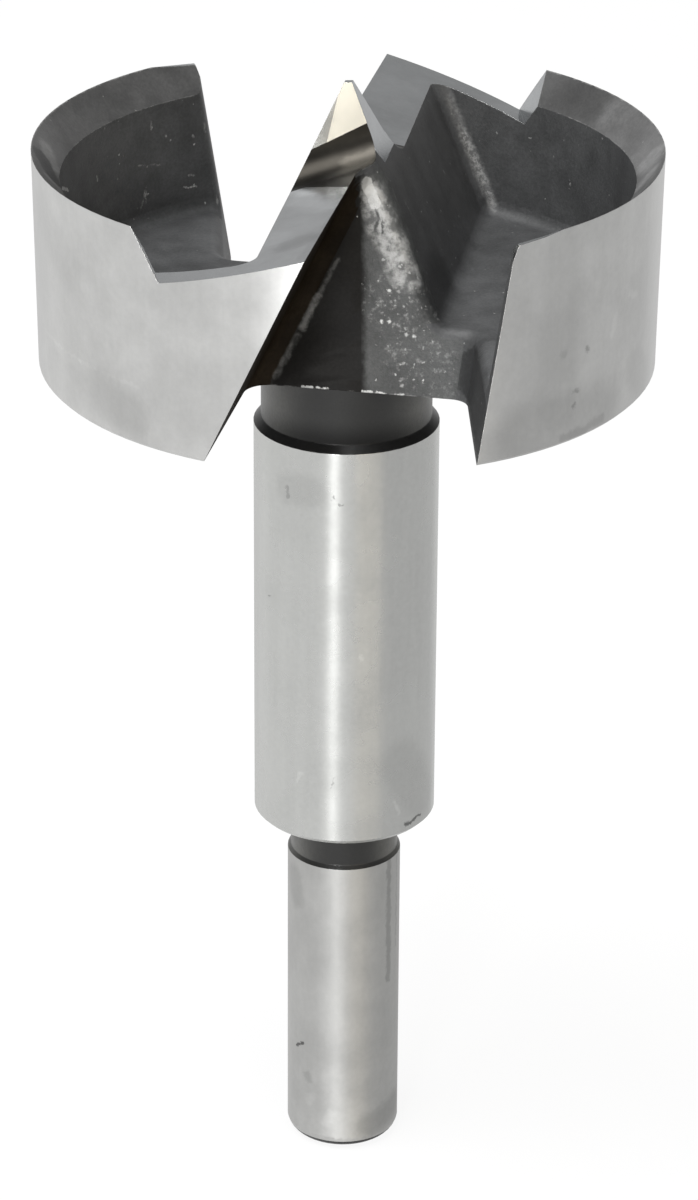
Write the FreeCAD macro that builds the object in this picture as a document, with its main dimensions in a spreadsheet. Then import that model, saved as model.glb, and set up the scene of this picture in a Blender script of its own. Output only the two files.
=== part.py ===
# A two-cutter forstner bit of 50 mm with a stepped shank, forged and ground from one piece of steel.
#
# The bit stands on the end of its shank, with its axis along +Z and the cutters up. The cutting
# edges lie along Y: the first edge reaches out towards -Y and cuts towards +X, and the second is
# the first one turned half a turn about Z. Lengths are in millimetres, angles in degrees.
import FreeCAD, Part
import math
import os
import Sketcher

NODE = "forstner_bit"

# Every size that drives the model: its name, its value and what it measures.
SIZES = [
    ("shank_diameter", 9.5, "thin shank, for a three-jaw chuck"),
    ("shank_length", 27.3, "thin shank, up to its top edge"),
    ("shank_end_round", 1.3, "rounding of the shank's lower end"),
    ("shank_top_chamfer", 0.3, "chamfer at the top of the thin shank"),
    ("undercut_diameter", 9.0, "groove between the thin shank and the boss"),
    ("undercut_length", 3.8, "from the top of the thin shank to the boss"),
    ("boss_diameter", 15.1, "thick part of the shank"),
    ("boss_length", 35.1, "ground length of the thick part"),
    ("boss_end_chamfer", 0.4, "chamfer at the lower end of the boss"),
    ("neck_diameter", 13.9, "black neck under the head"),
    ("neck_length", 5.5, "from the boss's top edge to the head"),
    ("head_diameter", 50.0, "over the rims at their sharp edge"),
    ("head_relief", 0.25, "how much each side of the head narrows towards the shank"),
    ("head_height", 17.9, "from the head's underside to the sharp edge of the rims"),
    ("head_edge_chamfer", 0.3, "chamfer of the head's lower edge"),
    ("rim_wall", 2.2, "thickness of the rims"),
    ("rim_bevel", 2.4, "height of the bevel inside the rims"),
    ("web_thickness", 5.3, "floor of the chip pockets"),
    ("pocket_fillet", 1.2, "fillets inside the chip pockets"),
    ("edge_lead", 1.6, "cutting edge, ahead of the centre line"),
    ("edge_drop", 0.6, "cutting edge, below the edge of the rims"),
    ("rake_angle", 24.9, "lean of the rake faces"),
    ("back_angle", 24.3, "lean of the faces behind the cutters"),
    ("back_turn", 2.0, "turn of those faces about the axis"),
    ("clearance_angle", 16.2, "slope of the ground lands behind the edges"),
    ("wheel_turn", 20.0, "turn of the grinding direction about the axis"),
    ("notch_turn", 29.8, "from the edge's direction to the end of the rim behind it"),
    ("notch_angle", 25.0, "lean of the ground end of the rim"),
    ("point_height", 5.2, "centre point, above the edge of the rims"),
    ("point_flat", 0.6, "width of the worn tip"),
    ("flank_angle", 21.0, "lean of the point's ground flanks"),
    ("flank_radius", 2.8, "radius between a flank and its land"),
    ("hub_half", 3.3, "half the hub's thickness at the height of the edges"),
    ("hub_angle", 13.5, "lean of the hub's front and back"),
    ("root_radius", 2.0, "root between a rake face and the hub"),
    ("gullet_radius", 1.6, "corner between the hub and the end of a rim"),
    ("gullet_offset", 9.1, "gullet's leading side, from the axis, at the underside"),
    ("gullet_turn", 13.1, "turn of the gullet's leading side about the axis"),
    ("gullet_angle", 8.7, "lean of the gullet's leading side"),
    ("rim_end_length", 4.5, "stretch of a rim's leading end that is eased off"),
    ("rim_end_drop", 0.6, "how far that stretch drops at the very end"),
    ("rim_end_corner", 0.9, "blunted corner at the very end"),
    ("hub_round", 1.2, "rounded ridges between the hub and the chip pockets"),
    ("cut_margin", 2.0, "how far the cuts run past the metal"),
]

doc = FreeCAD.newDocument(NODE)

sheet = doc.addObject("Spreadsheet::Sheet", "Sizes")
for row, (alias, value, meaning) in enumerate(SIZES, start=1):
    sheet.set(f"A{row}", alias)
    sheet.set(f"B{row}", str(value))
    sheet.set(f"C{row}", meaning)
    sheet.setAlias(f"B{row}", alias)
doc.recompute()

# Heights above the shank's end, and radii, as formulas of the sheet's cells.
SHANK_TOP = "Sizes.shank_length"
BOSS_BOTTOM = f"({SHANK_TOP} + Sizes.undercut_length)"
BOSS_TOP = f"({BOSS_BOTTOM} + Sizes.boss_length)"
UNDERSIDE = f"({BOSS_TOP} + Sizes.neck_length)"
FLOOR = f"({UNDERSIDE} + Sizes.web_thickness)"
RIM = f"({UNDERSIDE} + Sizes.head_height)"
EDGE = f"({RIM} - Sizes.edge_drop)"
TIP = f"({RIM} + Sizes.point_height)"
SHANK_R = "Sizes.shank_diameter / 2"
UNDERCUT_R = "Sizes.undercut_diameter / 2"
BOSS_R = "Sizes.boss_diameter / 2"
NECK_R = "Sizes.neck_diameter / 2"
HEAD_R = "Sizes.head_diameter / 2"
INNER_R = "(Sizes.head_diameter / 2 - Sizes.rim_wall)"
OUTSIDE = "(Sizes.head_diameter / 2 + Sizes.cut_margin)"
POINT_HALF = "Sizes.point_flat / 2"
OUTER_SIDE = "(Sizes.gullet_offset + tan(Sizes.gullet_angle) * Sizes.head_height)"


def number(formula):
    """The present value of a formula of the sheet's cells."""
    value = sheet.evalExpression(formula)
    return float(getattr(value, "Value", value))


def origin_feature(body, role):
    """One of a body's own origin planes or axes."""
    return next(f for f in body.Origin.OriginFeatures if f.Role == role)


def new_sketch(body, name, support):
    """An empty sketch on a plane of its body."""
    sketch = body.newObject("Sketcher::SketchObject", name)
    sketch.AttachmentSupport = [(support, "")]
    sketch.MapMode = "FlatFace"
    return sketch


def turned_sketch(body, name, role, turn):
    """A sketch on an upright origin plane, turned about Z by a formula in degrees."""
    sketch = new_sketch(body, name, origin_feature(body, role))
    sketch.AttachmentOffset = FreeCAD.Placement(
        FreeCAD.Vector(), FreeCAD.Rotation(FreeCAD.Vector(0, 1, 0), 0)
    )
    sketch.setExpression("AttachmentOffset.Rotation.Angle", f"({turn}) * 1 deg")
    return sketch


def fix_point(sketch, geometry, position, place):
    """Ties a point of a sketch to its two formulas, measured from the sketch's origin."""
    for kind, formula in zip(("DistanceX", "DistanceY"), place):
        index = sketch.addConstraint(
            Sketcher.Constraint(kind, -1, 1, geometry, position, number(formula))
        )
        sketch.setExpression(f"Constraints[{index}]", formula)


def draw_outline(sketch, corners):
    """
    Draws a closed outline of straight sides. A corner is (x, y) or (x, y, radius), as formulas,
    and a radius rounds it with an arc tangent to both sides.
    """
    count = len(corners)
    places = [FreeCAD.Vector(number(c[0]), number(c[1]), 0) for c in corners]
    ends = []
    arcs = []
    for i, corner in enumerate(corners):
        here = places[i]
        if len(corner) == 2:
            ends.append((here, here))
            arcs.append(None)
            continue
        back = (places[i - 1] - here).normalize()
        ahead = (places[(i + 1) % count] - here).normalize()
        radius = number(corner[2])
        half = back.getAngle(ahead) / 2
        reach = radius / math.tan(half)
        start = here + back * reach
        end = here + ahead * reach
        middle_way = (back + ahead).normalize()
        centre = here + middle_way * (radius / math.sin(half))
        middle = centre - middle_way * radius
        ends.append((start, end))
        arcs.append(Part.Arc(start, middle, end))
    sides = [
        sketch.addGeometry(Part.LineSegment(ends[i][1], ends[(i + 1) % count][0]), False)
        for i in range(count)
    ]
    for i, corner in enumerate(corners):
        before = sides[i - 1]
        after = sides[i]
        if arcs[i] is None:
            sketch.addConstraint(Sketcher.Constraint("Coincident", before, 2, after, 1))
            fix_point(sketch, after, 1, corner)
            continue
        arc = sketch.addGeometry(arcs[i], False)
        arc_start = 1
        if (sketch.getPoint(arc, 1) - ends[i][0]).Length > (sketch.getPoint(arc, 2) - ends[i][0]).Length:
            arc_start = 2
        sketch.addConstraint(Sketcher.Constraint("Tangent", before, 2, arc, arc_start))
        sketch.addConstraint(Sketcher.Constraint("Tangent", arc, 3 - arc_start, after, 1))
        index = sketch.addConstraint(Sketcher.Constraint("Radius", arc, number(corner[2])))
        sketch.setExpression(f"Constraints[{index}]", corner[2])
        meeting = sketch.addGeometry(Part.Point(places[i]), True)
        sketch.addConstraint(Sketcher.Constraint("PointOnObject", meeting, 1, before))
        sketch.addConstraint(Sketcher.Constraint("PointOnObject", meeting, 1, after))
        fix_point(sketch, meeting, 1, corner)


def turned_blank(body):
    """The shank, the boss, the neck and the cup of the head, turned in one piece."""
    sketch = new_sketch(body, "TurnedProfile", origin_feature(body, "XZ_Plane"))
    draw_outline(sketch, [
        ("0", "0"),
        (SHANK_R, "0", "Sizes.shank_end_round"),
        (SHANK_R, SHANK_TOP),
        (UNDERCUT_R, f"{SHANK_TOP} + Sizes.shank_top_chamfer"),
        (UNDERCUT_R, BOSS_BOTTOM),
        (f"{BOSS_R} - Sizes.boss_end_chamfer", BOSS_BOTTOM),
        (BOSS_R, f"{BOSS_BOTTOM} + Sizes.boss_end_chamfer"),
        (BOSS_R, BOSS_TOP),
        (NECK_R, f"{BOSS_TOP} + {BOSS_R} - {NECK_R}"),
        (NECK_R, UNDERSIDE),
        (f"{HEAD_R} - Sizes.head_relief - Sizes.head_edge_chamfer", UNDERSIDE),
        (f"{HEAD_R} - Sizes.head_relief", f"{UNDERSIDE} + Sizes.head_edge_chamfer"),
        (HEAD_R, RIM),
        (INNER_R, RIM),
        (INNER_R, FLOOR),
        ("0", FLOOR),
    ])
    blank = body.newObject("PartDesign::Revolution", "TurnedBlank")
    blank.Profile = sketch
    blank.ReferenceAxis = (sketch, ["V_Axis"])
    blank.Angle = 360
    return blank


def back_face_x(height):
    """How far the face behind a cutter lies from the centre line at a height."""
    return f"({POINT_HALF} + tan(Sizes.back_angle) * ({TIP} - {height}))"


def cutter_bar(body):
    """The bar across the cup that both cutters are ground from, with its leaning faces."""
    foot = f"({FLOOR} - Sizes.web_thickness / 10)"
    sketch = turned_sketch(body, "CutterBarProfile", "XZ_Plane", "Sizes.back_turn")
    draw_outline(sketch, [
        (f"-{back_face_x(foot)}", foot),
        (back_face_x(foot), foot),
        (back_face_x(RIM), RIM),
        (f"-{back_face_x(RIM)}", RIM),
    ])
    bar = body.newObject("PartDesign::Pad", "CutterBar")
    bar.Profile = sketch
    bar.SideType = "Symmetric"
    bar.setExpression("Length", f"2 * ({INNER_R} + 0.05 * Sizes.rim_wall)")
    return bar


def pocket_fillets(body, base):
    """The fillets inside the two chip pockets: along the floor and up the corners."""
    doc.recompute()
    inner = number(INNER_R)
    floor = number(FLOOR)
    rim = number(RIM)
    names = []
    for i, edge in enumerate(base.Shape.Edges, start=1):
        middle = edge.valueAt((edge.FirstParameter + edge.LastParameter) / 2)
        inside = math.hypot(middle.x, middle.y) < inner + 0.01
        on_floor = abs(middle.z - floor) < 0.01
        up_corner = floor < middle.z < rim and abs(math.hypot(middle.x, middle.y) - inner) < 0.01
        if inside and (on_floor or up_corner):
            names.append(f"Edge{i}")
    fillets = body.newObject("PartDesign::Fillet", "PocketFillets")
    fillets.Base = (base, names)
    fillets.setExpression("Radius", "Sizes.pocket_fillet")
    return fillets


def point_stub(body):
    """The stub above the rims that the centre point is ground from."""
    foot = f"({RIM} - Sizes.cut_margin)"
    sketch = turned_sketch(body, "PointProfile", "XZ_Plane", "Sizes.back_turn")
    draw_outline(sketch, [
        (f"-{back_face_x(foot)}", foot),
        (back_face_x(foot), foot),
        (POINT_HALF, TIP),
        (f"-{POINT_HALF}", TIP),
    ])
    stub = body.newObject("PartDesign::Pad", "PointStub")
    stub.Profile = sketch
    stub.SideType = "Symmetric"
    stub.setExpression("Length", "4 * Sizes.point_height")
    return stub


def gullet_section(body, name, height):
    """The first gullet's outline at a height: cutter, hub and the next rim's end."""
    rake_x = f"(Sizes.edge_lead + tan(Sizes.rake_angle) * ({height} - {EDGE}))"
    hub_y = f"-(Sizes.hub_half + tan(Sizes.hub_angle) * ({EDGE} - {height}))"
    side = f"(Sizes.gullet_offset + tan(Sizes.gullet_angle) * ({height} - {UNDERSIDE}))"

    def side_x(y):
        return f"({side} - sin(Sizes.gullet_turn) * ({y})) / cos(Sizes.gullet_turn)"

    sketch = new_sketch(body, name, origin_feature(body, "XY_Plane"))
    sketch.setExpression("AttachmentOffset.Base.z", height)
    draw_outline(sketch, [
        (rake_x, f"-{OUTSIDE}"),
        (side_x(f"-{OUTSIDE}"), f"-{OUTSIDE}"),
        (side_x(hub_y), hub_y, "Sizes.gullet_radius"),
        (rake_x, hub_y, "Sizes.root_radius"),
    ])
    return sketch


def gullet(body):
    """The gullet in front of the first cutter, open through the whole head."""
    low = gullet_section(body, "GulletLow", f"({UNDERSIDE} - Sizes.cut_margin)")
    high = gullet_section(body, "GulletHigh", f"({TIP} + Sizes.cut_margin)")
    cut = body.newObject("PartDesign::SubtractiveLoft", "Gullet")
    cut.Profile = low
    cut.Sections = [high]
    cut.Ruled = True
    return cut


def rim_bevel(body):
    """The bevel that leaves the first rim its sharp outer edge."""
    slope = "Sizes.rim_bevel / Sizes.rim_wall"
    half_margin = "Sizes.cut_margin / 4"
    rim_middle = "180 + (Sizes.notch_turn - Sizes.gullet_turn) / 2"
    sketch = turned_sketch(body, "RimBevelProfile", "XZ_Plane", rim_middle)
    draw_outline(sketch, [
        (f"{HEAD_R} + {half_margin}", f"{RIM} + {half_margin} * {slope}"),
        (f"{INNER_R} - {half_margin}", f"{RIM} - Sizes.rim_bevel - {half_margin} * {slope}"),
        (f"{INNER_R} - {half_margin}", f"{RIM} + {half_margin} * {slope}"),
    ])
    cut = body.newObject("PartDesign::Groove", "RimBevel")
    cut.Profile = sketch
    cut.ReferenceAxis = (sketch, ["V_Axis"])
    cut.Midplane = True
    cut.Angle = 120
    return cut


def rim_end(body):
    """The eased end of the other rim, beside the first gullet, with its blunted corner."""
    side = f"({OUTER_SIDE} / ({HEAD_R}))"
    end_turn = f"90 + Sizes.gullet_turn - acos({side}) / 1 deg"
    slope = "(Sizes.rim_end_drop / Sizes.rim_end_length)"
    corner = "Sizes.rim_end_corner"
    margin = "Sizes.cut_margin"
    inside = f"({INNER_R} - 2 * Sizes.rim_wall)"
    sketch = turned_sketch(body, "RimEndProfile", "XZ_Plane", end_turn)
    sketch.setExpression("AttachmentOffset.Base.x", f"{inside} * sin({end_turn})")
    sketch.setExpression("AttachmentOffset.Base.z", f"{inside} * cos({end_turn})")
    draw_outline(sketch, [
        (f"Sizes.rim_end_length + {margin}", f"{RIM} + {margin} * {slope}"),
        (f"-{margin}", f"{RIM} + {margin} * {slope}"),
        (f"-{margin}", f"{RIM} - Sizes.rim_end_drop - {margin} - {corner}"),
        (corner, f"{RIM} - Sizes.rim_end_drop + {corner} * {slope}", corner),
    ])
    cut = body.newObject("PartDesign::Pocket", "RimEnd")
    cut.Profile = sketch
    cut.Reversed = True
    cut.setExpression("Length", OUTSIDE)
    return cut


def land_grind(body):
    """The grinding cut of the first cutter: its land, the point's flank and the rim's notch."""
    wheel = body.newObject("PartDesign::Plane", "WheelPlane")
    wheel.AttachmentSupport = [(origin_feature(body, "YZ_Plane"), "")]
    wheel.MapMode = "FlatFace"
    wheel.AttachmentOffset = FreeCAD.Placement(
        FreeCAD.Vector(), FreeCAD.Rotation(FreeCAD.Vector(0, 1, 0), 0)
    )
    wheel.setExpression("AttachmentOffset.Rotation.Angle", "Sizes.wheel_turn * 1 deg")
    notch = body.newObject("PartDesign::Plane", "NotchPlane")
    notch.AttachmentSupport = [(wheel, "")]
    notch.MapMode = "FlatFace"
    notch.AttachmentOffset = FreeCAD.Placement(
        FreeCAD.Vector(), FreeCAD.Rotation(FreeCAD.Vector(1, 0, 0), 0)
    )
    notch.setExpression("AttachmentOffset.Base.y", RIM)
    notch.setExpression(
        "AttachmentOffset.Base.z", f"-{HEAD_R} * sin(Sizes.notch_turn + Sizes.wheel_turn)"
    )
    notch.setExpression("AttachmentOffset.Rotation.Angle", "-Sizes.notch_angle * 1 deg")
    doc.recompute()

    rise = "(sin(Sizes.wheel_turn) * tan(Sizes.clearance_angle))"
    start = f"({EDGE} - Sizes.edge_lead * tan(Sizes.clearance_angle))"
    flank = "tan(Sizes.flank_angle)"
    inner = f"(({POINT_HALF} + {flank} * ({TIP} - {start})) / (1 + {flank} * {rise}))"
    outer = f"({OUTSIDE} + Sizes.cut_margin)"
    above = f"({TIP} + Sizes.cut_margin)"
    sketch = new_sketch(body, "LandProfile", wheel)
    draw_outline(sketch, [
        (f"-({POINT_HALF} - {flank} * Sizes.cut_margin)", above),
        (f"-{outer}", above),
        (f"-{outer}", f"{start} + {rise} * {outer}"),
        (f"-{inner}", f"{start} + {rise} * {inner}", "Sizes.flank_radius"),
    ])
    cut = body.newObject("PartDesign::Pocket", "LandGrind")
    cut.Profile = sketch
    cut.UseCustomVector = True
    cut.setExpression("Direction.x", "-cos(Sizes.wheel_turn)")
    cut.setExpression("Direction.y", "-sin(Sizes.wheel_turn)")
    cut.setExpression("Direction.z", "-cos(Sizes.wheel_turn) * tan(Sizes.clearance_angle)")
    cut.SideType = "Two sides"
    cut.Type = "UpToFace"
    cut.UpToFace = (notch, [""])
    cut.Type2 = "Length"
    cut.setExpression("Length2", OUTSIDE)
    return cut


def second_cutter(body, originals):
    """Repeats the cuts of the first cutter half a turn further on."""
    pattern = body.newObject("PartDesign::PolarPattern", "SecondCutter")
    pattern.Originals = originals
    pattern.Axis = (origin_feature(body, "Z_Axis"), [""])
    pattern.Angle = 360
    pattern.Occurrences = 2
    body.Tip = pattern
    return pattern


def hub_rounds(body, base):
    """The rounded ridges where the hub's front and back meet the chip pockets."""
    doc.recompute()
    floor = number(FLOOR)
    half = number("Sizes.hub_half")
    slope = number("tan(Sizes.hub_angle)")
    edge = number(EDGE)
    names = []
    for i, candidate in enumerate(base.Shape.Edges, start=1):
        places = [candidate.valueAt(candidate.FirstParameter), candidate.valueAt(candidate.LastParameter)]
        places.append(candidate.valueAt((candidate.FirstParameter + candidate.LastParameter) / 2))
        on_hub = all(abs(abs(p.y) - half - slope * (edge - p.z)) < 0.01 for p in places)
        above_floor = all(p.z > floor - 0.01 for p in places)
        outward = all(p.x * p.y < 0 and abs(p.x) > half / 4 for p in places)
        if on_hub and above_floor and outward:
            names.append(f"Edge{i}")
    rounds = body.newObject("PartDesign::Fillet", "HubRounds")
    rounds.Base = (base, names)
    rounds.setExpression("Radius", "Sizes.hub_round")
    body.Tip = rounds
    return rounds


def check_document():
    """Stops where a feature failed or the bit isn't one valid solid."""
    for item in doc.Objects:
        if "Invalid" in item.State or "Error" in item.State:
            raise RuntimeError(f"{item.Name} failed: {item.State}")
    for item in doc.Objects:
        if item.TypeId == "PartDesign::Body":
            shape = item.Shape
            if shape.isNull() or not shape.isValid() or len(shape.Solids) != 1:
                raise RuntimeError(f"{item.Label} is not one valid solid")


body = doc.addObject("PartDesign::Body", "ForstnerBit")
body.Label = NODE
turned_blank(body)
bar = cutter_bar(body)
pocket_fillets(body, bar)
point_stub(body)
cuts = [gullet(body), rim_bevel(body), rim_end(body), land_grind(body)]
both = second_cutter(body, cuts)
hub_rounds(body, both)
doc.recompute()
check_document()

os.makedirs("parts", exist_ok=True)
body.Shape.exportStep(f"parts/{body.Label}.step")
box = body.Shape.BoundBox
print(f"{body.Label}: volume {body.Shape.Volume:.1f} mm3")
print(f"box {box.XLength:.2f} x {box.YLength:.2f} x {box.ZLength:.2f} mm")
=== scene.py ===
"""A two-cutter forstner bit, standing on its shank: ground bright outside, black oxide inside."""
import bmesh
import bpy
import math
from mathutils import Matrix, Vector, noise


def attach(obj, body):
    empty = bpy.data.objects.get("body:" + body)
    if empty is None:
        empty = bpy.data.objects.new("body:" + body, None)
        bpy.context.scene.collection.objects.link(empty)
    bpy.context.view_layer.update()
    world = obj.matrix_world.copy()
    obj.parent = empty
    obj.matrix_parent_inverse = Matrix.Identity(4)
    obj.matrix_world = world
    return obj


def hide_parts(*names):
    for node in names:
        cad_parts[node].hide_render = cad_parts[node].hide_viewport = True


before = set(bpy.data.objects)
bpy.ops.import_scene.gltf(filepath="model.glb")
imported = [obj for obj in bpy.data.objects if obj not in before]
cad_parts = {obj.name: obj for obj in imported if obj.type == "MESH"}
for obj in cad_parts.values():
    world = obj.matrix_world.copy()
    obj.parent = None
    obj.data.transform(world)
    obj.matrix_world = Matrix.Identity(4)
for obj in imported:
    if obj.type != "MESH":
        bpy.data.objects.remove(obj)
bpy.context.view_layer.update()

MM = 0.001
# Heights above the shank's end, in millimetres, as the frame has them.
RIM = 89.6
EDGE = 89.0
BEVEL_FOOT = 87.2
FLOOR = 77.0
UNDERSIDE = 71.7
RING_TOP = 66.8
BOSS_TOP = 66.2
BOSS_BOTTOM = 31.1
SHANK_TOP = 27.3
# Radii, in millimetres. The outside of the head is smaller by the relief at its lower edge.
HEAD_R = 25.0
HEAD_RELIEF = 0.25
INNER_R = 22.8
BOSS_R = 7.55
NECK_R = 6.95
SHANK_R = 4.75
UNDERCUT_R = 4.5
TURNED_RADII = (BOSS_R, NECK_R, SHANK_R, UNDERCUT_R, INNER_R)
# The cutters: the lead of the edge, the slopes of land and flank, the turn of the wheel and the rake.
LEAD = 1.6
CLEARANCE = math.tan(math.radians(16.2))
FLANK = math.tan(math.radians(21.0))
WHEEL = math.radians(20.0)
RAKE = math.radians(24.9)
# The rounding that the wheel leaves between a flank and its land, and the one round a pocket's floor.
GRIND_RADIUS = 2.8
POCKET_ROUND = 1.2
# The hub: half its thickness at the height of the edge, and the lean of its faces.
HUB_HALF = 3.3
HUB_SLOPE = math.tan(math.radians(13.5))
# The milled front of the hub ends at this x at this height, and the forged hill begins.
MILLED_END = 2.2
MILLED_LEVEL = 79.0
MILLED_LEAN = 0.06
# The forged finish runs this far round the ridge, and no farther from the axis than this.
RIDGE_BACK = 2.0
HUB_REACH = 15.0
# The back of the point is ground bright above this height and up to this line, and faces this way.
SLIVER_FOOT = 88.6
SLIVER_EDGE = ((3.05, -0.93, 88.67), (2.70, -1.61, 89.46))
BACK_NORMAL = Vector((0.911, 0, 0.411))
# Where the dark finish of the rounding ends, on the flank and on the land; on the land that dark is a
# painted reflection.
FLANK_FOOT = ((-2.42, -2.83, 89.91), (1.54, -1.12, 91.77))
LAND_HEAD = ((-3.30, -5.11, 87.57), (1.76, -8.23, 89.05))
# An edge is sharp from this angle on. Faces look the same way from this cosine on.
SHARP = math.radians(26)
SAME_WAY = 0.999
# A place belongs to a surface up to this distance, and a vertex to a turned surface up to this one.
NEAR = 0.05
TURNED_NEAR = 0.04
# A face of a rounding takes a plane's normal up to this angle between them.
JOIN = 0.26
# The flats that no rounding has: beyond the first area always, below the second one never.
LARGE_AREA = 30.0
SMALL_AREA = 4.0
# The faces behind a hub, which are cut where the forged finish ends, are larger than this.
BACK_AREA = 200.0
# Above the boss, nothing nearer to the axis than this is turned.
POINT_R = 4.3
# The forged hill: the step of its grid, its rounds of smoothing and the height of its lumps.
FORGED_STEP = 0.32
FORGED_ROUNDS = 7
FORGED_LUMPS = 0.05
# What a face is part of, as the mesh notes it: a rounding, a plane or a turned surface.
ROUNDED, PLANE, TURNED = range(3)

# The fall of the first flank, the run of the wheel, and the normals of the land and the flank.
FLANK_RUN = Vector((FLANK * math.sin(WHEEL), -FLANK * math.cos(WHEEL), -1))
GRIND_RUN = Vector((-math.cos(WHEEL), -math.sin(WHEEL), -math.cos(WHEEL) * CLEARANCE)).normalized()
LAND_NORMAL = Vector((-CLEARANCE, 0, 1)).normalized()
FLANK_NORMAL = GRIND_RUN.cross(FLANK_RUN).normalized()
if FLANK_NORMAL.y > 0:
    FLANK_NORMAL.negate()

# Linear colours of bare steel and of the blackest milled surface.
BARE = (0.5, 0.5, 0.49)
MILLED_BLACK = (0.011, 0.0105, 0.010)
# The rounding of edges on steel and on oxide, and the depth of grinding lines, in millimetres.
STEEL_EDGE = 0.06
OXIDE_EDGE = 0.12
LINE_DEPTH = 0.0015
# The width of worn edges.
WORN_EDGE = 0.14
# The way that grinding lines run: round the axis, across a land, or down a flank.
ROUND_LINES = (0.02, 0.02, 5.0)
LAND_LINES = (0.2, 3.0, 0.2)
FLANK_LINES = (0.2, 0.2, 3.0)


def turned_to(vector, side):
    """A vector of the first side, turned half a turn about the axis where the side is -1."""
    return Vector((vector[0] * side, vector[1] * side, vector[2]))


def grind_axis():
    """A place on the axis of the rounding between the first flank and its land."""
    rows = Matrix((LAND_NORMAL, FLANK_NORMAL, GRIND_RUN))
    over_land = GRIND_RADIUS + LAND_NORMAL.dot(Vector((LEAD, 0, EDGE)))
    over_flank = GRIND_RADIUS + FLANK_NORMAL.dot(Vector(FLANK_FOOT[0]))
    return rows.inverted() @ Vector((over_land, over_flank, 0))


def camera():
    """The photograph's view: 11 degrees to the right of the front and 25 degrees down."""
    elevation = math.radians(24.83)
    roll = math.radians(0.37)
    distance = 0.3794
    target = Vector((0.29 * MM, 0, 50.0 * MM))
    turn = Matrix.Rotation(math.radians(11.0), 3, "Z")
    right = turn @ Vector((1, 0, 0))
    back = turn @ Vector((0, -math.cos(elevation), math.sin(elevation)))
    up = back.cross(right)
    rolled_right = right * math.cos(roll) + up * math.sin(roll)
    rolled_up = up * math.cos(roll) - right * math.sin(roll)
    place = turn @ target + back * distance
    basis = Matrix((rolled_right, rolled_up, back)).transposed()
    data = bpy.data.cameras.new("Camera")
    data.sensor_width = 36
    data.lens = 138
    data.clip_start = 0.01
    data.clip_end = 20
    made = bpy.data.objects.new("Camera", data)
    made.matrix_world = Matrix.Translation(place) @ basis.to_4x4()
    bpy.context.scene.collection.objects.link(made)
    bpy.context.scene.camera = made


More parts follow.
